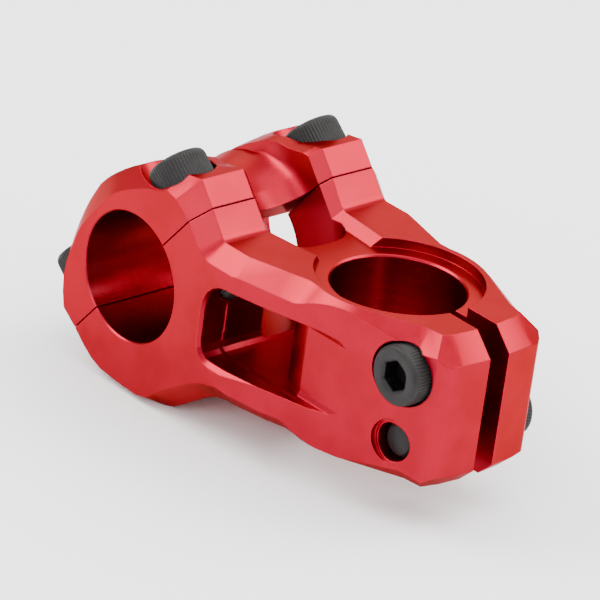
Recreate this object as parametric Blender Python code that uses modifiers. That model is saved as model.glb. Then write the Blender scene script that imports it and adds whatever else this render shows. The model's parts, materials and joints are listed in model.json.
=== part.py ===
"""Clamp-on handlebar stem: a forked alloy body, a bolted front cover and six socket screws.

X points forward to the handlebar, Y to the rider's left, Z up along the steerer.
The origin lies on the steerer axis, level with the underside of the steerer clamp.
"""

import math

import bmesh
import bpy
from mathutils import Matrix, Vector

MM = 0.001

# Steerer clamp
STEERER_RADIUS = 14.3 * MM
STEERER_EDGE = 0.4 * MM
SPOTFACE_RADIUS = 18.0 * MM
SPOTFACE_Z = 31.6 * MM
TOP_Z = 33.8 * MM
BOSS_TOP_RADIUS = 19.3
SLOT_WIDTH = 5.3 * MM
SLOT_BACK_X = -45.0 * MM

# Handlebar clamp
BAR_X = 52.8 * MM
BAR_Z = 16.3 * MM
BAR_RADIUS = 14.3 * MM
BAR_EDGE = 0.35 * MM
SPLIT_TILT = math.radians(51.0)
SPLIT_GAP = 0.3 * MM
HALF_WIDTH = 26.5
CHAMFER = 3.9

# Forked middle
WALL_TAPER = 0.2495
WALL_TAPER_X = 21.8
CAVITY_BACK_RADIUS = 20.0 * MM
WINDOW_TOP = 26.0
WINDOW_BOTTOM = 8.1
WINDOW_FRONT = 29.6
WINDOW_RIM = 1.0
POCKET_FLOOR_Y = 19.4 * MM
POCKET_FILLET = 1.6
OPENING_HALF = 8.8
LUG_EDGE = 2.4

# Cover screws: M8 socket heads on plain washers
UPPER_BOLT_Y = 18.8 * MM
LOWER_BOLT_Y = 17.6 * MM
UPPER_BOLT_R = 21.4 * MM
LOWER_BOLT_R = -20.2 * MM
UPPER_SEAT = 6.0 * MM
LOWER_SEAT = 6.9 * MM
WASHER_RADIUS = 6.8 * MM
WASHER_HOLE = 4.3 * MM
WASHER_THICK = 0.9 * MM
UPPER_LENGTH = 23.5 * MM
LOWER_LENGTH = 20.0 * MM
UPPER_POCKET_RADIUS = 7.35 * MM
LOWER_POCKET_RADIUS = 7.1 * MM

# Pinch screws across the slot
PINCH_X = -19.8 * MM
PINCH_UPPER_Z = 24.0 * MM
PINCH_LOWER_Z = 8.4 * MM
PINCH_FACE_Y = 18.5 * MM
PINCH_LENGTH = 25.0 * MM
COUNTERBORE_RADIUS = 7.0 * MM
TIP_RELIEF_RADIUS = 5.0 * MM
TIP_RELIEF_Y = 16.1 * MM

# Screw blanks
SHANK_RADIUS = 3.9 * MM
HEAD_RADIUS = 6.5 * MM
HEAD_HEIGHT = 8.0 * MM
HEX_ACROSS_FLATS = 6.0 * MM
HEX_DEPTH = 4.2 * MM
HOLE_RADIUS = 4.2 * MM
CLEARANCE_RADIUS = 4.4 * MM
CLEAR = 0.3 * MM
REACH = 60.0 * MM

RED = (0.62, 0.012, 0.02, 1.0)
BLACK = (0.02, 0.02, 0.021, 1.0)
GREY = (0.16, 0.16, 0.165, 1.0)


def clear_scene():
    for obj in list(bpy.data.objects):
        bpy.data.objects.remove(obj)


def collection(name):
    made = bpy.data.collections.new(name)
    bpy.context.scene.collection.children.link(made)
    return made


def material(name, color, metallic, roughness):
    made = bpy.data.materials.new(name)
    made.use_nodes = True
    shader = made.node_tree.nodes["Principled BSDF"]
    shader.inputs["Base Color"].default_value = color
    shader.inputs["Metallic"].default_value = metallic
    shader.inputs["Roughness"].default_value = roughness
    return made


def add_object(name, mesh, home, surface=None):
    obj = bpy.data.objects.new(name, mesh)
    home.objects.link(obj)
    if surface is not None:
        mesh.materials.clear()
        mesh.materials.append(surface)
    return obj


def mesh_from(bm, name):
    bmesh.ops.recalc_face_normals(bm, faces=bm.faces)
    mesh = bpy.data.meshes.new(name)
    bm.to_mesh(mesh)
    bm.free()
    return mesh


def loft(name, rings):
    """A closed skin over equal-length rings, with both end rings capped."""
    bm = bmesh.new()
    rows = [[bm.verts.new(point) for point in ring] for ring in rings]
    count = len(rows[0])
    for row, after in zip(rows, rows[1:]):
        for i in range(count):
            j = (i + 1) % count
            bm.faces.new((row[i], row[j], after[j], after[i]))
    bm.faces.new(reversed(rows[0]))
    bm.faces.new(rows[-1])
    bmesh.ops.triangulate(bm, faces=[f for f in bm.faces if len(f.verts) == 4])
    return mesh_from(bm, name)


def cylinder(name, radius, start, end, segments=48, end_radius=None):
    """A capped cylinder or cone between two points."""
    start = Vector(start)
    end = Vector(end)
    run = end - start
    bm = bmesh.new()
    turn = Vector((0, 0, 1)).rotation_difference(run).to_matrix().to_4x4()
    place = Matrix.Translation((start + end) / 2) @ turn
    bmesh.ops.create_cone(
        bm,
        cap_ends=True,
        segments=segments,
        radius1=radius,
        radius2=radius if end_radius is None else end_radius,
        depth=run.length,
        matrix=place,
    )
    return mesh_from(bm, name)


def stepped(name, start, direction, stations, segments=80):
    """A round plug along an axis whose radius changes at each (distance, radius) station."""
    turn = Vector((0, 0, 1)).rotation_difference(Vector(direction)).to_matrix()
    rings = []
    for distance, radius in stations:
        ring = []
        for k in range(segments):
            angle = 2 * math.pi * (k + 0.5) / segments
            spot = Vector((radius * math.cos(angle), radius * math.sin(angle), distance))
            ring.append(Vector(start) + turn @ spot)
        rings.append(ring)
    return loft(name, rings)


def box(name, low, high):
    low = Vector(low)
    high = Vector(high)
    bm = bmesh.new()
    size = high - low
    place = Matrix.Translation((low + high) / 2) @ Matrix.Diagonal((*size, 1))
    bmesh.ops.create_cube(bm, size=1, matrix=place)
    return mesh_from(bm, name)


def turned(name, profile, steps, closed=False):
    """A solid of revolution about Z; the profile runs down its outer side, top to bottom."""
    bm = bmesh.new()
    points = [bm.verts.new((radius, 0, height)) for radius, height in profile]
    for above, below in zip(points, points[1:]):
        bm.edges.new((above, below))
    if closed:
        bm.edges.new((points[-1], points[0]))
    mesh = bpy.data.meshes.new(name)
    bm.to_mesh(mesh)
    bm.free()
    obj = bpy.data.objects.new(name, mesh)
    bpy.context.scene.collection.objects.link(obj)
    screw = obj.modifiers.new("Turn", "SCREW")
    screw.axis = "Z"
    screw.steps = steps
    screw.render_steps = steps
    screw.use_merge_vertices = True
    screw.merge_threshold = 0.00005
    screw.use_normal_calculate = True
    return obj


def cut(target, cutter, operation="DIFFERENCE"):
    modifier = target.modifiers.new(cutter.name, "BOOLEAN")
    modifier.operation = operation
    modifier.solver = "EXACT"
    modifier.object = cutter
    return modifier


def settled(obj, name):
    """The evaluated mesh of an object, as new data."""
    graph = bpy.context.evaluated_depsgraph_get()
    mesh = bpy.data.meshes.new_from_object(obj.evaluated_get(graph))
    mesh.name = name
    return mesh


def inset(points, amount):
    """A closed outline moved outward (negative: inward) by mitred offset."""
    total = sum(a[0] * b[1] - b[0] * a[1] for a, b in zip(points, points[1:] + points[:1]))
    side = 1 if total > 0 else -1
    moved = []
    for i, point in enumerate(points):
        back = Vector(points[i]) - Vector(points[i - 1])
        on = Vector(points[(i + 1) % len(points)]) - Vector(point)
        first = Vector((back.y, -back.x)).normalized() * side
        second = Vector((on.y, -on.x)).normalized() * side
        mid = (first + second) / (1 + first.dot(second))
        moved.append((point[0] + mid.x * amount, point[1] + mid.y * amount))
    return moved


def rounded(before, corner, after, radius, steps):
    """Points of the arc that rounds one corner of an outline."""
    corner = Vector(corner)
    first = (Vector(before) - corner).normalized()
    second = (Vector(after) - corner).normalized()
    half = first.angle(second) / 2
    start = corner + first * (radius / math.tan(half))
    stop = corner + second * (radius / math.tan(half))
    middle = corner + (first + second).normalized() * (radius / math.sin(half))
    arm = start - middle
    sweep = arm.angle_signed(stop - middle)
    points = []
    for k in range(steps + 1):
        turn = Matrix.Rotation(-sweep * k / steps, 2)
        point = middle + turn @ arm
        points.append((point.x, point.y))
    return points


def from_split(r, h):
    """X and Z in mm of a point r up the split plane and h out from it towards the cover."""
    x = BAR_X / MM - math.cos(SPLIT_TILT) * r + math.sin(SPLIT_TILT) * h
    z = BAR_Z / MM + math.sin(SPLIT_TILT) * r + math.cos(SPLIT_TILT) * h
    return (x, z)


def side_ring(outline, y):
    return [(x * MM, y * MM, z * MM) for x, z in outline]


def plan_ring(outline, z):
    return [(x * MM, y * MM, z * MM) for x, y in outline]


def mirrored(half):
    """A closed plan outline from its left half, listed front to rear."""
    return half + [(x, -y) for x, y in reversed(half)]


def body_sides():
    """Side outlines of the body: between the edge chamfers, and on the flat side faces."""
    gap = SPLIT_GAP / MM / 2
    top = TOP_Z / MM
    lug = from_split(29.8, -gap)
    crease = (29.5, top)
    inner = [lug]
    inner += reversed(rounded((-40, top), crease, lug, 2.5, 4))
    inner += [(-40, top), (-40, 0), (22.4, 0), (25.8, -0.7), (28.6, -2.1), (35.7, -7.1)]
    inner += [(38.2, -8.8), (41.5, -9.8), (46.4, -9.8), (52.4, -9.2), (58.4, -8.6)]
    inner += [(63.2, -7.8), (67.0, -6.2), from_split(-26.5, -gap)]
    side_top = top - CHAMFER
    lug = from_split(25.7, -gap)
    crease = (31.4, side_top)
    outer = [lug]
    outer += reversed(rounded((-40, side_top), crease, lug, 6.4, 4))
    outer += [(-40, side_top), (-40, CHAMFER), (23.0, CHAMFER), (27.1, 2.8), (30.6, 1.2)]
    outer += [(38.0, -3.6), (41.0, -6.0), (43.2, -7.9), (46.4, -8.7), (52.4, -8.5)]
    outer += [(58.4, -7.9), (61.6, -6.7), (64.4, -4.9), from_split(-23.8, -gap)]
    return inner, outer


def body_blank(home):
    inner, outer = body_sides()
    flat = HALF_WIDTH
    edge = HALF_WIDTH - CHAMFER
    rings = [(outer, -flat), (inner, -edge), (inner, edge), (outer, flat)]
    mesh = loft("stem_body", [side_ring(outline, y) for outline, y in rings])
    return add_object("stem_body", mesh, home)


def wall_limits(home):
    """The upright side walls in plan: one straight taper back to the rounded rear corners."""
    front_y = HALF_WIDTH + WALL_TAPER * (95 - WALL_TAPER_X)
    rear_y = HALF_WIDTH - WALL_TAPER * (25.9 + WALL_TAPER_X)
    half = [(95, front_y), (-25.9, rear_y), (-27.4, 14.2), (-28.7, 13.4), (-29.7, 12.0)]
    half += [(-30.2, 10.2), (-30.9, 2.6)]
    outline = mirrored(half)
    mesh = loft("wall_limits", [plan_ring(outline, -30), plan_ring(outline, 70)])
    return add_object("wall_limits", mesh, home)


def boss_outline(grow):
    """Left half of the waisted outline round the steerer boss, front to rear."""
    radius = BOSS_TOP_RADIUS + grow
    half = [(34, 26.2 + grow * 0.2), (21.6, 22.62 + grow * 0.2), (12, 19.9 + grow)]
    half += [(7.4, 18.6 + grow)]
    for degrees in range(76, 116, 4):
        angle = math.radians(degrees)
        half.append((radius * math.cos(angle), radius * math.sin(angle)))
    half += [(-19.2, 12.4 + grow * 1.1), (-21.4, 11.5 + grow), (-24.6 - grow, 11.0 + grow)]
    half += [(-25.6 - grow, 8.5), (-26.1 - grow, 2.9)]
    return mirrored(half)


def boss_limits(home, cutters):
    """The waist and its 45 degree chamfers above and below, opened up ahead of the arms."""
    upper = boss_outline(0.0)
    lower = boss_outline(1.3)
    top = TOP_Z / MM
    rings = [
        plan_ring(inset(lower, -1), -1),
        plan_ring(inset(lower, 6), 6),
        plan_ring(inset(upper, 6), top - 6),
        plan_ring(inset(upper, -1), top + 1),
    ]
    limits = add_object("boss_limits", loft("boss_limits", rings), home)
    ahead = add_object("ahead", box("ahead", (0.022, -0.05, -0.03), (0.095, 0.05, 0.07)), cutters)
    cut(limits, ahead, "UNION")
    return limits


def window_outline(grow, back=-9.0, fillet=0.0):
    """The side window seen from the side; the bevel grows mostly downward."""
    front = WINDOW_FRONT + 0.5 * grow
    top = WINDOW_TOP + 0.3 * grow - fillet
    low = WINDOW_BOTTOM - grow + fillet
    corner_top = rounded((0, top), (front, top), (front, low), 7.0 + 0.3 * grow, 5)
    corner_low = rounded((front, top), (front, low), (0, low), 3.5 + grow, 4)
    bend = WALL_TAPER_X
    return [(back, low), (back, top), (bend, top), *corner_top, *corner_low, (bend, low)]


def window_cutters(home, cutters):
    """The cavity through the fork, and each side's shallow pocket with its bevelled rim."""
    outline = inset(window_outline(0, back=4.9), -0.25)
    reach = POCKET_FLOOR_Y / MM + POCKET_FILLET + 0.2
    mesh = loft("cavity", [side_ring(outline, -reach), side_ring(outline, reach)])
    cavity = add_object("cavity", mesh, home)
    mesh = cylinder("steerer_tube", CAVITY_BACK_RADIUS, (0, 0, -0.02), (0, 0, 0.06), 64)
    cut(cavity, add_object("steerer_tube", mesh, cutters))
    found = [cavity]
    for side, label in ((1, "left"), (-1, "right")):
        floor = POCKET_FLOOR_Y / MM
        fillet = POCKET_FILLET
        rings = [
            side_ring(window_outline(0, fillet=fillet), floor * side),
            side_ring(window_outline(0, fillet=fillet * 0.3), (floor + fillet * 0.3) * side),
            side_ring(window_outline(0), (floor + fillet) * side),
            tapered_ring(window_outline(0), HALF_WIDTH - WINDOW_RIM, floor + fillet + 0.1, side),
            tapered_ring(
                window_outline(2 * WINDOW_RIM), HALF_WIDTH + WINDOW_RIM, floor + 4.0, side
            ),
        ]
        found.append(add_object(f"pocket_{label}", loft(f"pocket_{label}", rings), home))
    return found


def tapered_ring(outline, y, least, side):
    """A side ring that follows the tapered wall, so that its bevel keeps its width."""
    ring = []
    for x, z in outline:
        behind = max(0.0, WALL_TAPER_X - x)
        ring.append((x * MM, side * max(y - WALL_TAPER * behind, least) * MM, z * MM))
    return ring


def opening_cutter(home):
    """The top opening between the arms, running forward into the handlebar bore."""
    half = [(60, OPENING_HALF), (27.4, OPENING_HALF), (25.6, 8.3), (24.0, 7.1)]
    half += [(22.8, 5.3), (22.3, 3.0)]
    outline = mirrored(half)
    rings = [plan_ring(outline, WINDOW_BOTTOM + 0.9), plan_ring(outline, 70)]
    return add_object("top_opening", loft("top_opening", rings), home)


def web_cutter(home):
    """The lowered web between the arms and the bevel on inside of the lugs, as one sweep."""
    top = TOP_Z / MM
    floor = SPOTFACE_Z / MM
    rise = 3.0
    crease = Vector((29.5, top))
    ahead = Vector(from_split(30.3, 4.0))
    along = (ahead - crease).normalized()
    up = Vector((-along.y, along.x))
    bisect = (up + Vector((0, 1))) / (1 + up.dot(Vector((0, 1))))
    stations = [
        ((2, floor), 6.0, (2, top + rise)),
        ((16, floor), 7.2, (16, top + rise)),
        (tuple(crease - bisect * (top - floor)), 8.6, tuple(crease + bisect * rise)),
        (tuple(ahead - up * (top - floor)), 8.6, tuple(ahead + up * rise)),
    ]
    flare = top - floor + rise
    rings = []
    for low, half, high in stations:
        section = [(low, half), (high, half + flare), (high, -half - flare), (low, -half)]
        rings.append([(x * MM, y * MM, z * MM) for (x, z), y in section])
    return add_object("web", loft("web", rings), home)


def bar_stations():
    """Radius of the handlebar bore along its axis, bevelled where it meets the side faces."""
    face = HALF_WIDTH * MM
    wide = BAR_RADIUS + BAR_EDGE + 2 * MM
    return [
        (-face - 2 * MM, wide),
        (-face + BAR_EDGE, BAR_RADIUS),
        (face - BAR_EDGE, BAR_RADIUS),
        (face + 2 * MM, wide),
    ]


def body_holes(home):
    """Both clamp bores with their edge chamfers, the slot and every screw hole."""
    low = -0.02
    steerer = [
        (low, STEERER_RADIUS + STEERER_EDGE),
        (0, STEERER_RADIUS + STEERER_EDGE),
        (STEERER_EDGE, STEERER_RADIUS),
        (SPOTFACE_Z - STEERER_EDGE, STEERER_RADIUS),
        (SPOTFACE_Z, STEERER_RADIUS + STEERER_EDGE),
        (SPOTFACE_Z + 0.001, SPOTFACE_RADIUS - 0.002),
        (0.06, SPOTFACE_RADIUS - 0.002),
    ]
    found = [
        stepped("steerer_bore", (0, 0, 0), (0, 0, 1), steerer),
        cylinder("spotface", SPOTFACE_RADIUS, (0, 0, SPOTFACE_Z), (0, 0, 0.06), 80),
        stepped("bar_bore", (BAR_X, 0, BAR_Z), (0, 1, 0), bar_stations()),
        box("slot", (SLOT_BACK_X, -SLOT_WIDTH / 2, low), (-0.008, SLOT_WIDTH / 2, 0.06)),
    ]
    for side, label in ((1, "left"), (-1, "right")):
        for r, y, depth, where in (
            (UPPER_BOLT_R, UPPER_BOLT_Y, 30 * MM, "upper"),
            (LOWER_BOLT_R, LOWER_BOLT_Y, 30 * MM, "lower"),
        ):
            x, z = from_split(r / MM, 5)
            start = Vector((x * MM, y * side, z * MM))
            run = Vector((math.sin(SPLIT_TILT), 0, math.cos(SPLIT_TILT))) * depth
            found.append(
                cylinder(f"tapped_{where}_{label}", HOLE_RADIUS, start, start - run, 32)
            )
    for z, side, label in ((PINCH_UPPER_Z, 1, "upper"), (PINCH_LOWER_Z, -1, "lower")):
        seat = PINCH_FACE_Y - HEAD_HEIGHT - CLEAR
        found.append(
            cylinder(
                f"pinch_hole_{label}",
                HOLE_RADIUS,
                (PINCH_X, -REACH, z),
                (PINCH_X, REACH, z),
                32,
            )
        )
        found.append(
            cylinder(
                f"counterbore_{label}",
                COUNTERBORE_RADIUS,
                (PINCH_X, seat * side, z),
                (PINCH_X, REACH * side, z),
                48,
            )
        )
        found.append(
            cylinder(
                f"tip_relief_{label}",
                TIP_RELIEF_RADIUS,
                (PINCH_X, -TIP_RELIEF_Y * side, z),
                (PINCH_X, -REACH * side, z),
                40,
            )
        )
    return [add_object(mesh.name, mesh, home) for mesh in found]


def build_body(home, cutters, surface):
    body = body_blank(home)
    cut(body, wall_limits(cutters), "INTERSECT")
    cut(body, boss_limits(cutters, cutters), "INTERSECT")
    windows = window_cutters(cutters, cutters)
    web = web_cutter(cutters)
    for cutter in [*windows, opening_cutter(cutters), web, *body_holes(cutters)]:
        cut(body, cutter)
    body.data.materials.append(surface)
    return body


# Outlines of the cover round the bar axis: (degrees from the upper split, radius in mm)
SIDE_LUG = [(25.4, 0), (25.1, 5.5), (23.9, 8.2)]
FULL_LUG = [(29.8, 0), (30.9, 6.4), (29.3, 7.8)]
WALL_LUG = [(27.4, 0), (28.5, 6.4), (27.5, 7.8)]
SIDE_ARC = [(24, 23.5), (43, 20.0), (65, 17.9), (83, 16.6), (102, 16.6), (114, 17.4)]
SIDE_ARC += [(131, 18.7), (153, 22.3), (168, 24.8)]
FULL_ARC = [(24, 28.0), (34, 27.0), (43, 25.3), (50, 23.95), (64, 22.45), (76, 21.8)]
FULL_ARC += [(86, 21.6), (96, 21.15), (114, 21.3), (131, 22.6), (153, 26.2), (168, 27.8)]
SIDE_END = (-23.8, 0)
FULL_END = (-26.5, 0)
ARC_STEPS = 18
# Half width and lug height of the fillets that run from the lugs down into the bridge
FILLET = [(8.7, 26.0), (8.4, 24.4), (7.7, 23.1), (6.6, 22.0), (5.2, 21.1), (3.4, 20.4)]
BRIDGE_RADIUS = 19.8


def arc_points(controls):
    """A smooth run through the control points, evenly spaced in angle."""
    first = controls[0][0]
    last = controls[-1][0]
    found = []
    for k in range(ARC_STEPS + 1):
        degrees = first + (last - first) * k / ARC_STEPS
        at = max(i for i, c in enumerate(controls[:-1]) if c[0] <= degrees + 1e-9)
        low = controls[max(at - 1, 0)]
        here, after = controls[at], controls[at + 1]
        high = controls[min(at + 2, len(controls) - 1)]
        t = (degrees - here[0]) / (after[0] - here[0])
        span = after[0] - here[0]
        lead = (after[1] - low[1]) / (after[0] - low[0]) * span
        trail = (high[1] - here[1]) / (high[0] - here[0]) * span
        radius = (2 * t**3 - 3 * t**2 + 1) * here[1] + (t**3 - 2 * t**2 + t) * lead
        radius += (3 * t**2 - 2 * t**3) * after[1] + (t**3 - t**2) * trail
        angle = math.radians(degrees)
        found.append((radius * math.cos(angle), radius * math.sin(angle)))
    return found


def cover_ring(outline, y):
    """A cover outline in the cover's own frame: X down the split, Z out from it."""
    lift = SPLIT_GAP / MM / 2
    return [(-r * MM, y * MM, max(h, lift) * MM) for r, h in outline]


def drawn_in(outline, share):
    """The arc of a cover outline pulled towards the bar axis, its lug and ends left alone."""
    kept = len(FULL_LUG)
    arc = [(r * share, h * share) for r, h in outline[kept:-1]]
    return outline[:kept] + arc + outline[-1:]


def bridge_outline(y, lug):
    """The waisted bridge at y, with the lug's fillet standing up from it near the split."""
    core = BRIDGE_RADIUS + 1.1 * (y / 8.8) ** 2
    found = []
    for r, h in FULL_LUG + arc_points(FULL_ARC) + [FULL_END]:
        angle = math.atan2(h, r)
        degrees = math.degrees(angle)
        rise = max(0.0, lug - core) * max(0.0, 1 - degrees / 48.0)
        tail = max(0.0, lug - core) * 0.3 * max(0.0, (degrees - 140.0) / 40.0)
        radius = core + rise + tail
        found.append((radius * math.cos(angle), radius * math.sin(angle)))
    return found


def cover_rings():
    """Outlines across the cover: cheeks and lugs outside, a waisted bridge between them."""
    side = SIDE_LUG + arc_points(SIDE_ARC) + [SIDE_END]
    full = FULL_LUG + arc_points(FULL_ARC) + [FULL_END]
    wall = WALL_LUG + full[len(WALL_LUG) :]
    left = [(side, HALF_WIDTH), (full, HALF_WIDTH - CHAMFER), (full, 17.0)]
    left += [(drawn_in(full, 0.98), 13.6), (drawn_in(full, 0.965), OPENING_HALF + LUG_EDGE)]
    left += [(drawn_in(wall, 0.945), OPENING_HALF)]
    left += [(bridge_outline(y, lug), y) for y, lug in FILLET]
    right = [(outline, -y) for outline, y in reversed(left)]
    return left + [(bridge_outline(0.0, 0.0), 0.0)] + right


def build_cover(home, cutters, surface):
    rings = [cover_ring(outline, y) for outline, y in cover_rings()]
    mesh = loft("front_cover", rings)
    cover = add_object("front_cover", mesh, home)
    tools = [stepped("cover_bore", (0, 0, 0), (0, 1, 0), bar_stations())]
    for side, label in ((1, "left"), (-1, "right")):
        for r, across, seat, wide, where in (
            (UPPER_BOLT_R, UPPER_BOLT_Y, UPPER_SEAT, UPPER_POCKET_RADIUS, "upper"),
            (LOWER_BOLT_R, LOWER_BOLT_Y, LOWER_SEAT, LOWER_POCKET_RADIUS, "lower"),
        ):
            name = f"{where}_{label}"
            y = across * side
            tools.append(
                cylinder(f"clear_{name}", CLEARANCE_RADIUS, (-r, y, -0.01), (-r, y, 0.03), 32)
            )
            tools.append(
                cylinder(f"seat_{name}", wide, (-r, y, seat), (-r, y, 0.04), 48)
            )
    for tool in tools:
        cutter = add_object(tool.name, tool, cutters)
        cutter.parent = cover
        cut(cover, cutter)
    cover.data.materials.append(surface)
    cover.location = (BAR_X, 0, BAR_Z)
    cover.rotation_euler = (0, SPLIT_TILT, 0)
    return cover


def screw_mesh(name, length):
    """A socket head screw: seat at Z zero, head above it, plain shank below."""
    top = HEAD_HEIGHT
    profile = [
        (0, top),
        (HEAD_RADIUS - 0.75 * MM, top),
        (HEAD_RADIUS - 0.15 * MM, top - 0.35 * MM),
        (HEAD_RADIUS, top - 0.9 * MM),
        (HEAD_RADIUS, 0.3 * MM),
        (HEAD_RADIUS - 0.3 * MM, 0),
        (SHANK_RADIUS, 0),
        (SHANK_RADIUS, -length + 0.8 * MM),
        (SHANK_RADIUS - 0.8 * MM, -length),
        (0, -length),
    ]
    blank = turned(name, profile, 48)
    flat_to_corner = HEX_ACROSS_FLATS / math.sqrt(3)
    socket_mesh = cylinder(
        "socket", flat_to_corner, (0, 0, top - HEX_DEPTH), (0, 0, top + MM), 6
    )
    socket = bpy.data.objects.new("socket", socket_mesh)
    bpy.context.scene.collection.objects.link(socket)
    lead_mesh = cylinder(
        "socket_lead",
        flat_to_corner - 0.8 * MM,
        (0, 0, top - MM),
        (0, 0, top + 0.5 * MM),
        48,
        flat_to_corner + 0.7 * MM,
    )
    lead = bpy.data.objects.new("socket_lead", lead_mesh)
    bpy.context.scene.collection.objects.link(lead)
    cut(blank, socket)
    cut(blank, lead)
    bpy.context.view_layer.update()
    mesh = settled(blank, name)
    for helper in (blank, socket, lead):
        bpy.data.objects.remove(helper)
    return mesh


def washer_mesh():
    profile = [
        (WASHER_HOLE, WASHER_THICK),
        (WASHER_RADIUS - 0.2 * MM, WASHER_THICK),
        (WASHER_RADIUS, WASHER_THICK - 0.2 * MM),
        (WASHER_RADIUS, 0),
        (WASHER_HOLE, 0),
    ]
    ring = turned("washer", profile, 48, closed=True)
    bpy.context.view_layer.update()
    mesh = settled(ring, "washer")
    bpy.data.objects.remove(ring)
    return mesh


def smooth(obj, degrees=32):
    for polygon in obj.data.polygons:
        polygon.use_smooth = True
    obj.data.set_sharp_from_angle(angle=math.radians(degrees))


def place_cover_screws(home, cover, black, grey):
    upper = screw_mesh("upper_screw", UPPER_LENGTH)
    lower = screw_mesh("lower_screw", LOWER_LENGTH)
    washer = washer_mesh()
    for mesh in (upper, lower):
        mesh.materials.append(black)
    washer.materials.append(grey)
    for r, across, seat, mesh, where in (
        (UPPER_BOLT_R, UPPER_BOLT_Y, UPPER_SEAT, upper, "upper"),
        (LOWER_BOLT_R, LOWER_BOLT_Y, LOWER_SEAT, lower, "lower"),
    ):
        for side, label in ((1, "left"), (-1, "right")):
            y = across * side
            ring = add_object(f"washer_{where}_{label}", washer, home)
            ring.parent = cover
            ring.location = (-r, y, seat + CLEAR / 3)
            screw = add_object(f"cover_screw_{where}_{label}", mesh, home)
            screw.parent = cover
            screw.location = (-r, y, seat + WASHER_THICK + CLEAR * 2 / 3)
            smooth(ring)
            smooth(screw)


def place_pinch_screws(home, body, black):
    mesh = screw_mesh("pinch_screw", PINCH_LENGTH)
    mesh.materials.append(black)
    for z, side, label in ((PINCH_UPPER_Z, 1, "upper"), (PINCH_LOWER_Z, -1, "lower")):
        screw = add_object(f"pinch_screw_{label}", mesh, home)
        screw.parent = body
        screw.rotation_euler = (-side * math.pi / 2, 0, 0)
        screw.location = (PINCH_X, side * (PINCH_FACE_Y - HEAD_HEIGHT), z)
        smooth(screw)


def main():
    clear_scene()
    home = collection("handlebar_stem")
    cutters = collection("cutters")
    red = material("anodised_red", RED, 1.0, 0.3)
    black = material("black_oxide", BLACK, 0.6, 0.45)
    grey = material("dark_zinc", GREY, 1.0, 0.4)
    body = build_body(home, cutters, red)
    cover = build_cover(home, cutters, red)
    place_cover_screws(home, cover, black, grey)
    place_pinch_screws(home, body, black)
    for obj in cutters.objects:
        obj.hide_render = True
        obj.display_type = "WIRE"
    cutters.hide_render = True
    for obj in (body, cover):
        smooth(obj, 20)
    bpy.context.view_layer.update()


main()
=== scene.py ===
"""Finishes a bicycle handlebar stem: anodised clamps, black socket screws, dark washers."""

import json
import math

import bmesh
import bpy
from bpy.props import FloatProperty, FloatVectorProperty, IntProperty, PointerProperty
from bpy.types import Operator, Panel, PropertyGroup
from mathutils import Matrix, Vector


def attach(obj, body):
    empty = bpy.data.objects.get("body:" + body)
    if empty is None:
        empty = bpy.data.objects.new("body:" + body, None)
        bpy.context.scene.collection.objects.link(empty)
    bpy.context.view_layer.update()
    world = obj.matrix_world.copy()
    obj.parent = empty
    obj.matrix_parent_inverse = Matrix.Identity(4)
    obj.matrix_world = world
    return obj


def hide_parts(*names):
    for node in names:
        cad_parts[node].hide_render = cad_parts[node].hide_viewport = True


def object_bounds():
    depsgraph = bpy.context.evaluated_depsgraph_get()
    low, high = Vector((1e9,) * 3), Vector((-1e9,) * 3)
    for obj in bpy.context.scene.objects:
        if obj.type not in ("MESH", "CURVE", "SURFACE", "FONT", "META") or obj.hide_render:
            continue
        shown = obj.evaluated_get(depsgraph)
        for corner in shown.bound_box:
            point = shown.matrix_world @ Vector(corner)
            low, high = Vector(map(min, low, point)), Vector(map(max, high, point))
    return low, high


bl_info = {
    "name": "Handlebar Stem Finisher",
    "version": (1, 0, 0),
    "blender": (4, 5, 0),
    "location": "3D View > Sidebar > Stem",
    "description": "Anodised clamp surfaces, knurled black screws and a plain studio for a bicycle stem",
    "category": "Object",
}

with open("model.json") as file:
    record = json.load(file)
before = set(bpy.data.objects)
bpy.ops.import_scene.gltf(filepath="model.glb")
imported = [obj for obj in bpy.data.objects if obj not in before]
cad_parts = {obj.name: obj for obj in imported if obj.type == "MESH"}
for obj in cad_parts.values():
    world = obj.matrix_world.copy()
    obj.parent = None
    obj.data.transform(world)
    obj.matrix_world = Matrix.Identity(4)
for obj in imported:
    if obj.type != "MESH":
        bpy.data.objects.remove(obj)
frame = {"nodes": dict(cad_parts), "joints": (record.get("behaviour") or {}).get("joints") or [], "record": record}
CAD_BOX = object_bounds()
MM = 0.001
JOINTS = {joint["name"]: joint for joint in frame["joints"]}
OPENINGS = {opening["name"]: opening["box_m"] for opening in frame["record"]["physics"]["openings"]}
MOUNTS = {mount["name"]: mount["pos_m"] for mount in frame["record"]["mounts"]}
ROWS = ("upper", "lower")
SIDES = ("left", "right")

# Turned lines show up to this distance from a bore's axis, just past its 14.3 mm wall
BORE_REACH = 14.55 * MM
BAR_CENTRE = tuple((low + high) / 2 for low, high in zip(*OPENINGS["bar_bore"]))
RECESS_Z = MOUNTS["top_cap_face"][2]
RECESS_WIDTH = 4.0 * MM

# Turns of the surface below this angle are shaded smoothly
EDGE_TURN = math.radians(19.0)
SCREW_EDGE_TURN = math.radians(38.0)

# Screw details that the settings don't hold
KNURL_DEPTH = 0.28 * MM
NECK_LENGTH = 1.2 * MM
POINT_LENGTH = 0.9 * MM
THREAD_SIDES = 48
ROWS_PER_TURN = 6
POINTS_PER_KNURL = 4

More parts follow.
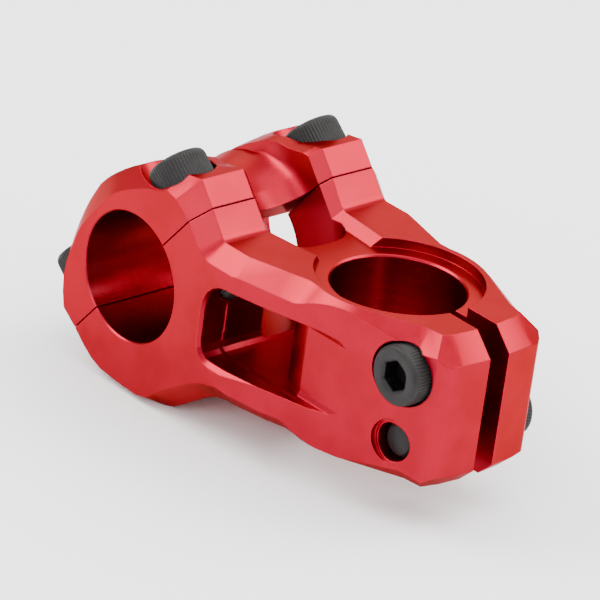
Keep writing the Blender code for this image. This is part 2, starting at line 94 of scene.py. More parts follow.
# Softboxes: place, width and height, and share of the key light's power
STUDIO_MIDDLE = (0.02, 0.0, 0.02)
SOFTBOXES = {
    "key_softbox": ((0.62, 0.46, 0.78), (0.7, 0.5), 1.0),
    "side_softbox": ((-0.25, 0.95, 0.55), (0.8, 0.4), 0.40),
    "far_softbox": ((0.72, -0.78, 0.52), (1.0, 0.5), 0.24),
    "near_softbox": ((-0.32, -0.66, 0.72), (0.7, 0.6), 0.84),
    "rear_strip": ((-0.95, -0.35, 0.45), (0.3, 0.9), 0.40),
    "overhead": ((0.0, -0.2, 1.3), (1.2, 1.2), 1.0),
}
FLOOR_HALF = 6.0
FLOOR_GAP = 0.2 * MM

# Where the camera's axis passes the middle of the recess, to its right and below it
AIM_RIGHT = 20.28 * MM
AIM_DOWN = 3.04 * MM


# ------------------------------------------------------------------ settings


class StemAnodising(PropertyGroup):
    color: FloatVectorProperty(
        name="Dye",
        description="Colour of the dyed anodised layer",
        subtype="COLOR",
        size=3,
        min=0.0,
        max=1.0,
        default=(0.31, 0.0018, 0.0170),
    )
    # Paler red along machined edges: partly a thinner worn layer, partly a painted highlight for the bright edge
    # lines
    worn_edge_highlight_color: FloatVectorProperty(
        name="Worn Edge",
        description="Colour of the thinner layer along machined edges",
        subtype="COLOR",
        size=3,
        min=0.0,
        max=1.0,
        default=(0.42, 0.010, 0.030),
    )
    roughness: FloatProperty(
        name="Roughness",
        description="Roughness of the blasted surface under the dye",
        default=0.34,
        min=0.05,
        max=1.0,
        subtype="FACTOR",
    )
    clearness: FloatProperty(
        name="Seal",
        description="Strength of the clear sealed layer over the dye",
        default=0.10,
        min=0.0,
        max=1.0,
        subtype="FACTOR",
    )
    grain: FloatProperty(
        name="Blast Grain",
        description="Size of the fine pits left by bead blasting",
        default=0.22 * MM,
        min=0.02 * MM,
        max=2.0 * MM,
        unit="LENGTH",
        precision=5,
    )
    feed: FloatProperty(
        name="Tool Feed",
        description="Distance between the turned lines inside the bores",
        default=0.32 * MM,
        min=0.05 * MM,
        max=2.0 * MM,
        unit="LENGTH",
        precision=5,
    )


class StemHardware(PropertyGroup):
    screw_color: FloatVectorProperty(
        name="Black Oxide",
        description="Colour of the screws",
        subtype="COLOR",
        size=3,
        min=0.0,
        max=1.0,
        default=(0.0095, 0.0086, 0.0086),
    )
    washer_color: FloatVectorProperty(
        name="Washer",
        description="Colour of the dark washers",
        subtype="COLOR",
        size=3,
        min=0.0,
        max=1.0,
        default=(0.060, 0.058, 0.060),
    )
    head_radius: FloatProperty(
        name="Head Radius",
        description="Outer radius of the socket heads",
        default=6.5 * MM,
        min=2.0 * MM,
        max=10.0 * MM,
        unit="LENGTH",
        precision=5,
    )
    head_height: FloatProperty(
        name="Head Height",
        description="Height of the socket heads",
        default=8.0 * MM,
        min=2.0 * MM,
        max=12.0 * MM,
        unit="LENGTH",
        precision=5,
    )
    across_flats: FloatProperty(
        name="Across Flats",
        description="Size of the hexagonal key that fits the socket",
        default=6.0 * MM,
        min=2.0 * MM,
        max=10.0 * MM,
        unit="LENGTH",
        precision=5,
    )
    socket_depth: FloatProperty(
        name="Socket Depth",
        description="Depth of the hexagonal socket",
        default=4.2 * MM,
        min=1.0 * MM,
        max=7.0 * MM,
        unit="LENGTH",
        precision=5,
    )
    knurls: IntProperty(
        name="Knurls",
        description="Number of straight ridges round a head",
        default=56,
        min=12,
        max=120,
    )
    pitch: FloatProperty(
        name="Thread Pitch",
        description="Advance of the thread in one turn",
        default=1.25 * MM,
        min=0.5 * MM,
        max=2.0 * MM,
        unit="LENGTH",
        precision=5,
    )
    thread_radius: FloatProperty(
        name="Thread Radius",
        description="Radius at the crest of the thread",
        default=3.92 * MM,
        min=1.0 * MM,
        max=6.0 * MM,
        unit="LENGTH",
        precision=5,
    )


class StemStudio(PropertyGroup):
    floor_color: FloatVectorProperty(
        name="Floor",
        description="Colour of the plain floor",
        subtype="COLOR",
        size=3,
        min=0.0,
        max=1.0,
        default=(0.96, 0.96, 0.96),
    )
    light: FloatProperty(
        name="Key Light",
        description="Power of the largest softbox",
        default=11.5,
        min=0.0,
        max=500.0,
        unit="POWER",
    )
    sky: FloatProperty(
        name="Room Light",
        description="Strength of the even light from the room",
        default=1.5,
        min=0.0,
        max=5.0,
    )
    azimuth: FloatProperty(
        name="Azimuth",
        description="Direction the camera looks from, about the vertical",
        default=math.radians(224.76),
        subtype="ANGLE",
    )
    elevation: FloatProperty(
        name="Elevation",
        description="Height of the camera above the horizon",
        default=math.radians(25.52),
        subtype="ANGLE",
    )
    roll: FloatProperty(
        name="Roll",
        description="Tilt of the camera about its own axis",
        default=math.radians(-7.80),
        subtype="ANGLE",
    )
    distance: FloatProperty(
        name="Distance",
        description="Distance from the camera to the top of the steerer clamp",
        default=0.96546,
        min=0.1,
        max=10.0,
        unit="LENGTH",
    )
    lens: FloatProperty(
        name="Lens",
        description="Focal length of the camera",
        default=281.3,
        min=10.0,
        max=1000.0,
        unit="CAMERA",
    )


# ------------------------------------------------------------- shader groups


class Graph:
    """Short words for placing and wiring shader nodes."""

    def __init__(self, tree):
        self.tree = tree
        self.count = 0

    def add(self, kind, values=None, **settings):
        node = self.tree.nodes.new(kind)
        node.location = (220 * (self.count % 8), -260 * (self.count // 8))
        self.count += 1
        for name, value in settings.items():
            setattr(node, name, value)
        for name, value in (values or {}).items():
            if isinstance(value, bpy.types.NodeSocket):
                self.tree.links.new(value, node.inputs[name])
            else:
                node.inputs[name].default_value = value
        return node

    def math(self, operation, first, second=0.0, clamp=False):
        node = self.add("ShaderNodeMath", {0: first, 1: second}, operation=operation)
        node.use_clamp = clamp
        return node.outputs[0]

    def vector(self, operation, first, second=(0, 0, 0), out="Vector"):
        node = self.add("ShaderNodeVectorMath", {0: first, 1: second}, operation=operation)
        return node.outputs[out]

    def scale(self, vector, amount):
        node = self.add("ShaderNodeVectorMath", {0: vector, "Scale": amount}, operation="SCALE")
        return node.outputs["Vector"]

    def ramp(self, value, low, high):
        node = self.add(
            "ShaderNodeMapRange",
            {"Value": value, "From Min": low, "From Max": high},
            interpolation_type="SMOOTHSTEP",
        )
        return node.outputs["Result"]

    def mix(self, factor, first, second):
        node = self.add("ShaderNodeMix", data_type="RGBA")
        for socket, value in ((node.inputs[0], factor), (node.inputs[6], first)):
            self._set(socket, value)
        self._set(node.inputs[7], second)
        return node.outputs[2]

    def blend(self, factor, first, second):
        node = self.add("ShaderNodeMix", data_type="FLOAT")
        for index, value in ((0, factor), (2, first), (3, second)):
            self._set(node.inputs[index], value)
        return node.outputs[0]

    def noise(self, vector, scale, detail=3.0, roughness=0.5):
        node = self.add(
            "ShaderNodeTexNoise",
            {"Vector": vector, "Scale": scale, "Detail": detail, "Roughness": roughness},
        )
        return node.outputs["Fac"]

    def _set(self, socket, value):
        if isinstance(value, bpy.types.NodeSocket):
            self.tree.links.new(value, socket)
        else:
            socket.default_value = value


def group(name, inputs, outputs):
    """An empty shader group with its named sockets, ready for wiring."""
    tree = bpy.data.node_groups.new(name, "ShaderNodeTree")
    for title, kind, default in inputs:
        socket = tree.interface.new_socket(title, in_out="INPUT", socket_type=kind)
        if default is not None:
            socket.default_value = default
    for title, kind in outputs:
        tree.interface.new_socket(title, in_out="OUTPUT", socket_type=kind)
    graph = Graph(tree)
    start = graph.add("NodeGroupInput")
    end = graph.add("NodeGroupOutput")
    return tree, graph, start.outputs, end.inputs


def sharp_edge_group():
    """Where the surface turns sharply, broken up by noise, and its normal with soft edges."""
    tree, graph, given, wanted = group(
        "sharp_edges",
        [
            ("Vector", "NodeSocketVector", None),
            ("Width", "NodeSocketFloat", 0.4 * MM),
            ("Breakup", "NodeSocketFloat", 0.4),
        ],
        [("Mask", "NodeSocketFloat"), ("Round", "NodeSocketVector")],
    )
    bevel = graph.add("ShaderNodeBevel", {"Radius": given["Width"]}, samples=6)
    flat = graph.add("ShaderNodeNewGeometry")
    same = graph.vector("DOT_PRODUCT", bevel.outputs[0], flat.outputs["Normal"], out="Value")
    turned = graph.math("SUBTRACT", 1.0, same, clamp=True)
    line = graph.ramp(turned, 0.01, 0.12)
    patch = graph.ramp(graph.noise(given["Vector"], 260.0, 4.0), 0.30, 0.62)
    kept = graph.math("SUBTRACT", 1.0, graph.math("MULTIPLY", patch, given["Breakup"]))
    graph.tree.links.new(graph.math("MULTIPLY", line, kept, clamp=True), wanted["Mask"])
    graph.tree.links.new(bevel.outputs[0], wanted["Round"])
    return tree


def blast_grain_group():
    """The fine pitting of a bead blasted surface, with a slower unevenness under it."""
    tree, graph, given, wanted = group(
        "blast_grain",
        [("Vector", "NodeSocketVector", None), ("Size", "NodeSocketFloat", 0.2 * MM)],
        [("Height", "NodeSocketFloat"), ("Unevenness", "NodeSocketFloat")],
    )
    scale = graph.math("DIVIDE", 1.0, given["Size"])
    pits = graph.noise(given["Vector"], scale, 4.0, 0.6)
    slow = graph.noise(given["Vector"], 95.0, 3.0, 0.55)
    graph.tree.links.new(pits, wanted["Height"])
    graph.tree.links.new(slow, wanted["Unevenness"])
    return tree


def turned_lines_group():
    """Tool lines inside a round bore, or rings on a face cut round the same axis."""
    tree, graph, given, wanted = group(
        "turned_lines",
        [
            ("Vector", "NodeSocketVector", None),
            ("Centre", "NodeSocketVector", None),
            ("Axis", "NodeSocketVector", (0.0, 0.0, 1.0)),
            ("Radius", "NodeSocketFloat", BORE_REACH),
            ("Feed", "NodeSocketFloat", 0.3 * MM),
        ],
        [
            ("Bore", "NodeSocketFloat"),
            ("Bore Height", "NodeSocketFloat"),
            ("Face Height", "NodeSocketFloat"),
            ("Distance", "NodeSocketFloat"),
        ],
    )
    local = graph.vector("SUBTRACT", given["Vector"], given["Centre"])
    along = graph.vector("DOT_PRODUCT", local, given["Axis"], out="Value")
    across = graph.vector("SUBTRACT", local, graph.scale(given["Axis"], along))
    distance = graph.vector("LENGTH", across, out="Value")
    room = graph.math("SUBTRACT", given["Radius"], distance)
    inside = graph.ramp(room, -0.04 * MM, 0.04 * MM)
    jitter = graph.math("MULTIPLY", graph.noise(given["Vector"], 900.0, 2.0), 0.9)
    for title, length in (("Bore Height", along), ("Face Height", distance)):
        turns = graph.math("DIVIDE", length, given["Feed"])
        phase = graph.math("ADD", graph.math("MULTIPLY", turns, 2.0 * math.pi), jitter)
        wave = graph.math("SINE", phase)
        slow = graph.math("SINE", graph.math("MULTIPLY", turns, 0.83))
        both = graph.math("ADD", wave, graph.math("MULTIPLY", slow, 0.6))
        graph.tree.links.new(both, wanted[title])
    graph.tree.links.new(inside, wanted["Bore"])
    graph.tree.links.new(distance, wanted["Distance"])
    return tree


def dust_group():
    """A thin film of dust and handling marks that lies on upward faces."""
    tree, graph, given, wanted = group(
        "dust_film",
        [("Vector", "NodeSocketVector", None), ("Amount", "NodeSocketFloat", 0.1)],
        [("Mask", "NodeSocketFloat"), ("Smear", "NodeSocketFloat")],
    )
    normal = graph.add("ShaderNodeNewGeometry").outputs["Normal"]
    upward = graph.add("ShaderNodeSeparateXYZ", {0: normal}).outputs[2]
    lying = graph.ramp(upward, 0.1, 1.0)
    spots = graph.ramp(graph.noise(given["Vector"], 1600.0, 5.0, 0.7), 0.56, 0.74)
    film = graph.ramp(graph.noise(given["Vector"], 140.0, 4.0), 0.35, 0.75)
    both = graph.math("MAXIMUM", spots, graph.math("MULTIPLY", film, 0.35))
    amount = graph.math("MULTIPLY", graph.math("MULTIPLY", both, lying), given["Amount"])
    graph.tree.links.new(graph.math("MINIMUM", amount, 1.0), wanted["Mask"])
    smear = graph.ramp(graph.noise(given["Vector"], 62.0, 5.0, 0.62), 0.42, 0.66)
    graph.tree.links.new(smear, wanted["Smear"])
    return tree


def shared(name, maker):
    """One copy of a shader group, made the first time that it is asked for."""
    found = bpy.data.node_groups.get(name)
    return found or maker()


def place(graph, name, maker, values):
    node = graph.add("ShaderNodeGroup", node_tree=shared(name, maker))
    for title, value in values.items():
        graph._set(node.inputs[title], value)
    return node.outputs


def start_material(name):
    made = bpy.data.materials.new(name)
    made.use_nodes = True
    shader = made.node_tree.nodes["Principled BSDF"]
    graph = Graph(made.node_tree)
    graph.count = 2
    where = graph.add("ShaderNodeTexCoord").outputs["Object"]
    return made, shader, graph, where


def finish_material(graph, shader, color, roughness, height, distance, around):
    bump = graph.add(
        "ShaderNodeBump",
        {"Height": height, "Distance": distance, "Strength": 1.0, "Normal": around},
    )
    graph.tree.links.new(color, shader.inputs["Base Color"])
    graph.tree.links.new(roughness, shader.inputs["Roughness"])
    graph.tree.links.new(bump.outputs["Normal"], shader.inputs["Normal"])


# ---------------------------------------------------------------- finishes


def anodised(name, look, bores):
    """Satin dyed aluminium: blasted outside, turned bores, paler edges that are partly worn layer and partly
    painted highlight.

    Each bore is its centre, its axis, the reach of its lines and the height of the face round
    it that was cut in the same set-up, or zero.
    """
    made, shader, graph, where = start_material(name)
    grain = place(graph, "blast_grain", blast_grain_group, {"Vector": where, "Size": look.grain})
    edging = place(
        graph,
        "sharp_edges",
        sharp_edge_group,
        {"Vector": where, "Width": 0.38 * MM, "Breakup": 0.55},
    )
    dust = place(graph, "dust_film", dust_group, {"Vector": where, "Amount": 0.07})
    dye = (*look.color, 1.0)
    deep = (look.color[0] * 0.86, look.color[1] * 0.7, look.color[2] * 0.7, 1.0)
    color = graph.mix(graph.ramp(grain["Unevenness"], 0.35, 0.65), deep, dye)
    # Edges turn paler red: partly worn layer, partly a painted highlight along the machined edges
    color = graph.mix(
        graph.math("MULTIPLY", edging["Mask"], 0.75), color, (*look.worn_edge_highlight_color, 1.0)
    )
    color = graph.mix(dust["Mask"], color, (0.36, 0.12, 0.13, 1.0))
    uneven = graph.ramp(grain["Unevenness"], 0.3, 0.7)
    rough = graph.blend(uneven, look.roughness - 0.03, look.roughness + 0.04)
    rough = graph.math("ADD", rough, graph.math("MULTIPLY", dust["Smear"], 0.035))
    height = graph.math("MULTIPLY", grain["Height"], 0.9)
    for centre, axis, radius, face in bores:
        lines = place(
            graph,
            "turned_lines",
            turned_lines_group,
            {
                "Vector": where,
                "Centre": centre,
                "Axis": axis,
                "Radius": radius,
                "Feed": look.feed,
            },
        )
        turned = graph.math("MULTIPLY", lines["Bore Height"], 0.85)
        height = graph.blend(lines["Bore"], height, turned)
        rough = graph.blend(lines["Bore"], rough, 0.27)
        if face:
            level = graph.add("ShaderNodeSeparateXYZ", {0: where}).outputs[2]
            above = graph.math("ABSOLUTE", graph.math("SUBTRACT", level, face))
            near = graph.ramp(above, 0.18 * MM, 0.06 * MM)
            rim = radius + RECESS_WIDTH
            close = graph.ramp(lines["Distance"], rim, rim - 0.5 * MM)
            mask = graph.math("MULTIPLY", near, close)
            height = graph.blend(mask, height, graph.math("MULTIPLY", lines["Face Height"], 0.5))
            rough = graph.blend(mask, rough, 0.30)
    finish_material(graph, shader, color, rough, height, 0.006 * MM, edging["Round"])
    shader.inputs["Metallic"].default_value = 1.0
    shader.inputs["Specular Tint"].default_value = (0.64, 0.085, 0.15, 1.0)
    shader.inputs["Coat Weight"].default_value = look.clearness
    shader.inputs["Coat Roughness"].default_value = 0.22
    shader.inputs["Coat IOR"].default_value = 1.55
    return made


def black_oxide(look, name="black_oxide_screw", share=1.0):
    """Oiled black steel with a faint grey sheen and rubbed crests. A share below one darkens the colour, the
    crests and the sheen: painted shade.
    """
    made, shader, graph, where = start_material(name)
    grain = place(graph, "blast_grain", blast_grain_group, {"Vector": where, "Size": 0.16 * MM})
    edging = place(
        graph, "sharp_edges", sharp_edge_group, {"Vector": where, "Width": 0.22 * MM, "Breakup": 0.6}
    )
    dust = place(graph, "dust_film", dust_group, {"Vector": where, "Amount": 0.08})
    # A share below one darkens the whole finish: painted shade for the socket
    dark = tuple(share * part for part in look.screw_color) + (1.0,)
    lighter = tuple(1.9 * share * part for part in look.screw_color) + (1.0,)
    color = graph.mix(graph.ramp(grain["Unevenness"], 0.35, 0.65), dark, lighter)
    color = graph.mix(
        graph.math("MULTIPLY", edging["Mask"], 0.7 * share), color, (0.075, 0.070, 0.069, 1.0)
    )
    color = graph.mix(dust["Mask"], color, (0.24, 0.23, 0.22, 1.0))
    rough = graph.blend(graph.ramp(grain["Unevenness"], 0.3, 0.7), 0.40, 0.52)
    rough = graph.blend(edging["Mask"], rough, 0.33)
    finish_material(graph, shader, color, rough, grain["Height"], 0.012 * MM, edging["Round"])
    shader.inputs["Metallic"].default_value = 0.0
    shader.inputs["Specular IOR Level"].default_value = 0.15 * share
    return made


def screw_finish(look):
    """The finish of the skin and a darker copy of it inside the socket, painted shade for the recess."""
    skin = bpy.data.materials.get("black_oxide_screw") or black_oxide(look)
    # Copy at 22 percent of the colour and sheen: painted shade inside the socket
    shaded = bpy.data.materials.get("shaded_socket") or black_oxide(look, "shaded_socket", 0.22)
    return skin, shaded


def dark_zinc(look):
    """Washer steel with a fine rolled texture and brighter stamped edges."""
    made, shader, graph, where = start_material("dark_zinc_washer")
    grain = place(graph, "blast_grain", blast_grain_group, {"Vector": where, "Size": 0.30 * MM})
    edging = place(
        graph, "sharp_edges", sharp_edge_group, {"Vector": where, "Width": 0.16 * MM, "Breakup": 0.35}
    )
    dark = (*look.washer_color, 1.0)
    lighter = tuple(1.6 * part for part in look.washer_color) + (1.0,)
    color = graph.mix(graph.ramp(grain["Unevenness"], 0.3, 0.7), dark, lighter)
    color = graph.mix(edging["Mask"], color, (0.30, 0.29, 0.285, 1.0))
    rough = graph.blend(graph.ramp(grain["Height"], 0.3, 0.7), 0.34, 0.50)
    finish_material(graph, shader, color, rough, grain["Height"], 0.010 * MM, edging["Round"])
    shader.inputs["Metallic"].default_value = 0.9
    return made


def put_finish(obj, finish):
    obj.data.materials.clear()
    obj.data.materials.append(finish)


def even_shading_tree():
    """Shades gentle turns smoothly and leaves the machined edges crisp."""
    tree = bpy.data.node_groups.new("even_shading", "GeometryNodeTree")
    tree.interface.new_socket("Geometry", in_out="INPUT", socket_type="NodeSocketGeometry")
    tree.interface.new_socket("Geometry", in_out="OUTPUT", socket_type="NodeSocketGeometry")
    graph = Graph(tree)
    start = graph.add("NodeGroupInput")
    joined = graph.add(
        "GeometryNodeMergeByDistance", {"Geometry": start.outputs[0], "Distance": 0.002 * MM}
    )
    bare = graph.add(
        "GeometryNodeRemoveAttribute", {"Geometry": joined.outputs[0], "Name": "custom_normal"}
    )
    soft = graph.add(
        "GeometryNodeSetShadeSmooth",
        {"Geometry": bare.outputs[0], "Shade Smooth": True},
        domain="FACE",
    )
    turn = graph.add("GeometryNodeInputMeshEdgeAngle")
    sharp = graph.add(
        "FunctionNodeCompare",
        {0: turn.outputs[0], 1: EDGE_TURN},
        data_type="FLOAT",
        operation="GREATER_THAN",
    )
    crisp = graph.add(
        "GeometryNodeSetShadeSmooth",
        {"Geometry": soft.outputs[0], "Selection": sharp.outputs[0], "Shade Smooth": False},
        domain="EDGE",
    )
    end = graph.add("NodeGroupOutput")
    tree.links.new(crisp.outputs[0], end.inputs[0])
    return tree


def shade_evenly(obj):
    modifier = obj.modifiers.new("even_shading", "NODES")
    modifier.node_group = bpy.data.node_groups.get("even_shading") or even_shading_tree()


# ------------------------------------------------------------------ screws


def bridge_rings(faces, first, second, size):
    for step in range(size):
        after = (step + 1) % size
        faces.append((first + step, first + after, second + after, second + step))


def ring(radius_at, z, around):
    """Points round the axis at one height, at the radius given for each direction."""
    points = []
    for step in range(around):
        angle = 2 * math.pi * step / around
        radius = radius_at(angle)
        points.append((radius * math.cos(angle), radius * math.sin(angle), z))
    return points


def head_rings(look, around):
    """Rings of the head from its seat, up its knurled side and over the rounded rim."""
    radius, top = look.head_radius, look.head_height
    plan = [
        (look.thread_radius + 0.3 * MM, 0.0, 0.0),
        (radius - 0.55 * MM, 0.0, 0.0),
        (radius - 0.12 * MM, 0.12 * MM, 0.0),
        (radius - 0.02 * MM, 0.40 * MM, 0.0),
        (radius, 0.75 * MM, 0.15),
        (radius, 1.15 * MM, 1.0),
        (radius, top - 2.10 * MM, 1.0),
        (radius, top - 1.35 * MM, 0.85),
        (radius - 0.06 * MM, top - 0.95 * MM, 0.15),
        (radius - 0.20 * MM, top - 0.50 * MM, 0.0),
        (radius - 0.48 * MM, top - 0.18 * MM, 0.0),
        (radius - 0.90 * MM, top - 0.02 * MM, 0.0),
        (radius - 1.20 * MM, top, 0.0),
    ]
    rings = []
    for outer, z, share in plan:

        def knurled(angle, outer=outer, share=share):
            wave = 0.5 - 0.5 * math.cos(angle * look.knurls)
            return outer - KNURL_DEPTH * share * wave

        rings.append(ring(knurled, z, around))
    return rings


def hexagon_radius(angle, flats):
    """Distance from the centre to the side of a hexagon in a direction."""
    part = (angle + math.pi / 6) % (math.pi / 3) - math.pi / 6
    return flats / 2 / math.cos(part)


def socket_rings(look, around):
    """Rings down the socket: a round lead-in, the hexagon and a drilled bottom."""
    top = look.head_height
    corner = look.across_flats / math.sqrt(3)
    floor = top - look.socket_depth
    lead = [(corner + 0.42 * MM, top), (corner + 0.30 * MM, top - 0.05 * MM)]
    hexagon = [
        (0.16 * MM, top - 0.42 * MM),
        (0.03 * MM, top - 0.62 * MM),
        (0.0, top - 0.85 * MM),
        (0.0, floor + 0.25 * MM),
        (-0.06 * MM, floor),
    ]
    drilled = [(2.1 * MM, floor - 0.35 * MM), (0.9 * MM, floor - 0.95 * MM)]
    rings = [ring(lambda angle, r=radius: r, z, around) for radius, z in lead]
    for extra, z in hexagon:
        rings.append(
            ring(lambda angle, e=extra: hexagon_radius(angle, look.across_flats) + e, z, around)
        )
    rings += [ring(lambda angle, r=radius: r, z, around) for radius, z in drilled]
    return rings


def shank_rings(look, length, around):
    """Rings down the shank: a short neck, a helical thread and a chamfered end."""
    crest, pitch = look.thread_radius, look.pitch
    depth = 0.54 * pitch
    end = length - POINT_LENGTH
    steps = int((end - NECK_LENGTH) / (pitch / ROWS_PER_TURN))
    rings = [ring(lambda angle: crest - 0.05 * MM, 0.0, around)]
    for row in range(steps + 1):
        down = NECK_LENGTH + (end - NECK_LENGTH) * row / steps
        ease = min(1.0, row / 6.0, (steps - row) / 5.0)
        chamfer = 0.12 * MM if row > steps - 3 else 0.0

        def threaded(angle, down=down, ease=ease, chamfer=chamfer):
            phase = (down / pitch + angle / (2 * math.pi)) % 1.0
            saw = abs(2 * phase - 1)
            cut = depth * min(1.0, max(0.0, 1.25 * saw - 0.12)) * ease
            return crest - cut - chamfer

        rings.append(ring(threaded, -down, around))
    rings.append(ring(lambda angle: crest - 0.75 * MM, -length + 0.12 * MM, around))
    rings.append(ring(lambda angle: crest - 1.0 * MM, -length, around))
    return rings


def skin(rings, points, faces):
    """Adds rings of one size to a mesh, joined by quads, and returns where they start."""
    start = len(points)
    around = len(rings[0])
    for one in rings:
        points.extend(one)
    for row in range(len(rings) - 1):
        bridge_rings(faces, start + (row + 1) * around, start + row * around, around)
    return start


def cap(first, around, centre, points, faces):
    """Closes a ring with a fan to a point on the axis."""
    points.append((0.0, 0.0, centre))
    for step in range(around):
        faces.append((len(points) - 1, first + (step + 1) % around, first + step))


def stitch(outer, many, inner, few, faces):
    """Joins a ring of many points to a ring of few with triangles."""
    far, near = 0, 0
    while near < few or far < many:
        if far * few <= near * many and far < many:
            faces.append((outer + far % many, inner + near % few, outer + (far + 1) % many))
            far += 1
        else:
            faces.append((outer + far % many, inner + near % few, inner + (near + 1) % few))
            near += 1


def screw_mesh(name, look, length):
    """One closed skin: socket, knurled head and threaded shank."""
    around = look.knurls * POINTS_PER_KNURL
    points, faces = [], []
    head = [*reversed(socket_rings(look, around)), *reversed(head_rings(look, around))]
    start = skin(head, points, faces)
    cap(start, around, look.head_height - look.socket_depth - 1.15 * MM, points, faces)
    seat = start + (len(head) - 1) * around
    shank = shank_rings(look, length, THREAD_SIDES)
    neck = skin(shank, points, faces)
    cap(neck + (len(shank) - 1) * THREAD_SIDES, THREAD_SIDES, -length, points, faces)
    stitch(seat, around, neck, THREAD_SIDES, faces)
    mesh = bpy.data.meshes.new(name)
    mesh.from_pydata(points, [], faces)
    mesh.validate()
    face_outward(mesh)
    within = look.across_flats / math.sqrt(3) + 0.05 * MM
    for polygon in mesh.polygons:
        middle = polygon.center
        sunk = 0.5 * MM < middle.z < look.head_height - 0.6 * MM
        # Faces sunk in the socket take the darker copy: painted shade
        polygon.material_index = int(sunk and middle.xy.length < within)
        polygon.use_smooth = True
    mesh.set_sharp_from_angle(angle=SCREW_EDGE_TURN)
    return mesh


def face_outward(mesh):
    work = bmesh.new()
    work.from_mesh(mesh)
    bmesh.ops.recalc_face_normals(work, faces=work.faces)
    work.to_mesh(mesh)
    work.free()


def span_along(node, origin, axis):
    """How far a node reaches along an axis on both sides of a point."""
    reach = [(vertex.co - origin).dot(axis) for vertex in frame["nodes"][node].data.vertices]
    return min(reach), max(reach)


def make_screw(name, node, body, joint, look, mesh_name):
    """A detailed screw on its joint's axis, as long as the node that it stands for."""
    axis = Vector(joint["axis"])
    origin = Vector(joint["pos_m"])
    low, high = span_along(node, origin, axis)
    length = high - look.head_height - low
    mesh = bpy.data.meshes.get(mesh_name)
    if mesh is None:
        mesh = screw_mesh(mesh_name, look, length)
        for finish in screw_finish(look):
            mesh.materials.append(finish)
    obj = bpy.data.objects.new(name, mesh)
    bpy.context.scene.collection.objects.link(obj)
    turn = axis.to_track_quat("Z", "Y").to_matrix().to_4x4()
    seat = origin + axis * (high - look.head_height)
    obj.matrix_world = Matrix.Translation(seat) @ turn
    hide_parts(node)
    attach(obj, body)


# --------------------------------------------------------------- operators


class STEM_OT_anodise(Operator):
    """Gives the stem body and its front cover their dyed, blasted and turned surfaces"""

    bl_idname = "stem.anodise"
    bl_label = "Anodise Body and Cover"

    def execute(self, context):
        look = context.scene.stem_anodising
        bar = (BAR_CENTRE, (0.0, 1.0, 0.0), BORE_REACH, 0.0)
        steerer = ((0.0, 0.0, 0.0), (0.0, 0.0, 1.0), BORE_REACH, RECESS_Z)
        put_finish(frame["nodes"]["stem_body"], anodised("anodised_body", look, [bar, steerer]))
        put_finish(frame["nodes"]["front_cover"], anodised("anodised_cover", look, [bar]))
        shade_evenly(frame["nodes"]["stem_body"])
        shade_evenly(frame["nodes"]["front_cover"])
        return {"FINISHED"}


class STEM_OT_washers(Operator):
    """Gives the four washers their dark zinc finish"""

    bl_idname = "stem.washers"
    bl_label = "Finish Washers"

    def execute(self, context):
        finish = dark_zinc(context.scene.stem_hardware)
        for row in ROWS:
            for side in SIDES:
                washer = frame["nodes"][f"washer_{row}_{side}"]
                put_finish(washer, finish)
                shade_evenly(washer)
        return {"FINISHED"}


class STEM_OT_cover_screws(Operator):
    """Makes the four knurled, threaded screws that hold the front cover"""

    bl_idname = "stem.cover_screws"
    bl_label = "Make Cover Screws"

    def execute(self, context):
        look = context.scene.stem_hardware
        for row in ROWS:
            for side in SIDES:
                spot = f"{row}_{side}"
                make_screw(
                    f"{spot}_screw",
                    f"cover_screw_{spot}",
                    f"screw_{spot}",
                    JOINTS[f"{spot}_turn"],
                    look,
                    f"{row}_cover_screw",
                )
        return {"FINISHED"}


class STEM_OT_pinch_screws(Operator):
    """Makes the two screws that close the slot of the steerer clamp"""

    bl_idname = "stem.pinch_screws"
    bl_label = "Make Pinch Screws"

    def execute(self, context):
        look = context.scene.stem_hardware
        for row in ROWS:
            make_screw(
                f"{row}_pinch_screw",
                f"pinch_screw_{row}",
                f"pinch_{row}",
                JOINTS[f"pinch_{row}_turn"],
                look,
                "pinch_screw",
            )
        return {"FINISHED"}


def softbox(name, place_at, size, power):
    light = bpy.data.lights.new(name, "AREA")
    light.shape = "RECTANGLE"
    light.size, light.size_y = size
    light.energy = power
    obj = bpy.data.objects.new(name, light)
    bpy.context.scene.collection.objects.link(obj)
    obj.location = place_at
    toward = Vector(STUDIO_MIDDLE) - Vector(place_at)
    obj.rotation_euler = toward.to_track_quat("-Z", "Y").to_euler()


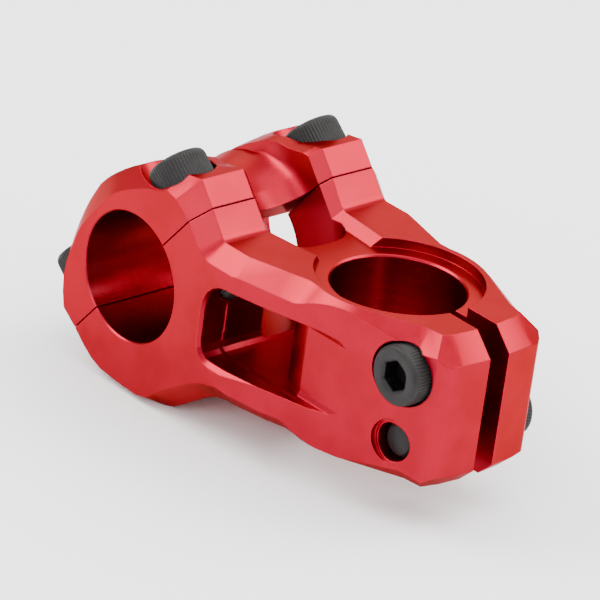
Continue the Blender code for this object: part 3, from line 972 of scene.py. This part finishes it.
class STEM_OT_stage(Operator):
    """Sets the floor, the softboxes, the room light and the camera"""

    bl_idname = "stem.stage"
    bl_label = "Set Up Studio"

    def execute(self, context):
        look = context.scene.stem_studio
        self.floor(look)
        self.lights(look)
        self.camera(context, look)
        return {"FINISHED"}

    def floor(self, look):
        low = CAD_BOX[0][2] - FLOOR_GAP
        half = FLOOR_HALF
        mesh = bpy.data.meshes.new("floor")
        corners = [(-half, -half, low), (half, -half, low), (half, half, low), (-half, half, low)]
        mesh.from_pydata(corners, [], [(0, 1, 2, 3)])
        obj = bpy.data.objects.new("floor", mesh)
        bpy.context.scene.collection.objects.link(obj)
        made, shader, graph, where = start_material("floor_paper")
        tooth = graph.noise(where, 900.0, 3.0)
        tone = tuple(0.985 * part for part in look.floor_color)
        color = graph.mix(tooth, (*tone, 1.0), (*look.floor_color, 1.0))
        graph.tree.links.new(color, shader.inputs["Base Color"])
        shader.inputs["Roughness"].default_value = 0.9
        shader.inputs["Specular IOR Level"].default_value = 0.1
        obj.data.materials.append(made)

    def lights(self, look):
        for name, (place_at, size, share) in SOFTBOXES.items():
            softbox(name, place_at, size, look.light * share)
        world = bpy.data.worlds.new("studio_room")
        world.use_nodes = True
        background = world.node_tree.nodes["Background"]
        background.inputs["Color"].default_value = (1.0, 1.0, 1.0, 1.0)
        background.inputs["Strength"].default_value = look.sky
        bpy.context.scene.world = world

    def camera(self, context, look):
        out = Vector(
            (
                math.sin(look.azimuth) * math.cos(look.elevation),
                -math.cos(look.azimuth) * math.cos(look.elevation),
                math.sin(look.elevation),
            )
        )
        level = (-out).cross(Vector((0, 0, 1))).normalized()
        down = (-out).cross(level)
        right = math.cos(look.roll) * level + math.sin(look.roll) * down
        low = -math.sin(look.roll) * level + math.cos(look.roll) * down
        aim = Vector((0, 0, RECESS_Z))
        place_at = aim + out * look.distance - right * AIM_RIGHT + low * AIM_DOWN
        turn = Matrix((right, -low, out)).transposed().to_4x4()
        data = bpy.data.cameras.new("studio_camera")
        data.sensor_width = 36.0
        data.lens = look.lens
        data.clip_start = 0.01
        data.clip_end = 50.0
        obj = bpy.data.objects.new("studio_camera", data)
        context.scene.collection.objects.link(obj)
        obj.matrix_world = Matrix.Translation(place_at) @ turn
        context.scene.camera = obj


class STEM_PT_sidebar(Panel):
    bl_label = "Handlebar Stem"
    bl_idname = "STEM_PT_sidebar"
    bl_space_type = "VIEW_3D"
    bl_region_type = "UI"
    bl_category = "Stem"

    def draw(self, context):
        scene = context.scene
        for owner, title in (
            (scene.stem_anodising, "Anodising"),
            (scene.stem_hardware, "Screws and Washers"),
            (scene.stem_studio, "Studio"),
        ):
            box = self.layout.box()
            box.label(text=title)
            for name in owner.__annotations__:
                box.prop(owner, name)
        for operator in OPERATORS:
            self.layout.operator(operator.bl_idname)


OPERATORS = (
    STEM_OT_anodise,
    STEM_OT_washers,
    STEM_OT_cover_screws,
    STEM_OT_pinch_screws,
    STEM_OT_stage,
)
CLASSES = (StemAnodising, StemHardware, StemStudio, *OPERATORS, STEM_PT_sidebar)


def register():
    for item in CLASSES:
        bpy.utils.register_class(item)
    bpy.types.Scene.stem_anodising = PointerProperty(type=StemAnodising)
    bpy.types.Scene.stem_hardware = PointerProperty(type=StemHardware)
    bpy.types.Scene.stem_studio = PointerProperty(type=StemStudio)


def unregister():
    del bpy.types.Scene.stem_studio
    del bpy.types.Scene.stem_hardware
    del bpy.types.Scene.stem_anodising
    for item in reversed(CLASSES):
        bpy.utils.unregister_class(item)


def main():
    register()
    bpy.ops.stem.anodise()
    bpy.ops.stem.washers()
    bpy.ops.stem.cover_screws()
    bpy.ops.stem.pinch_screws()
    bpy.ops.stem.stage()
    bpy.context.view_layer.update()


if __name__ == "__main__":
    main()
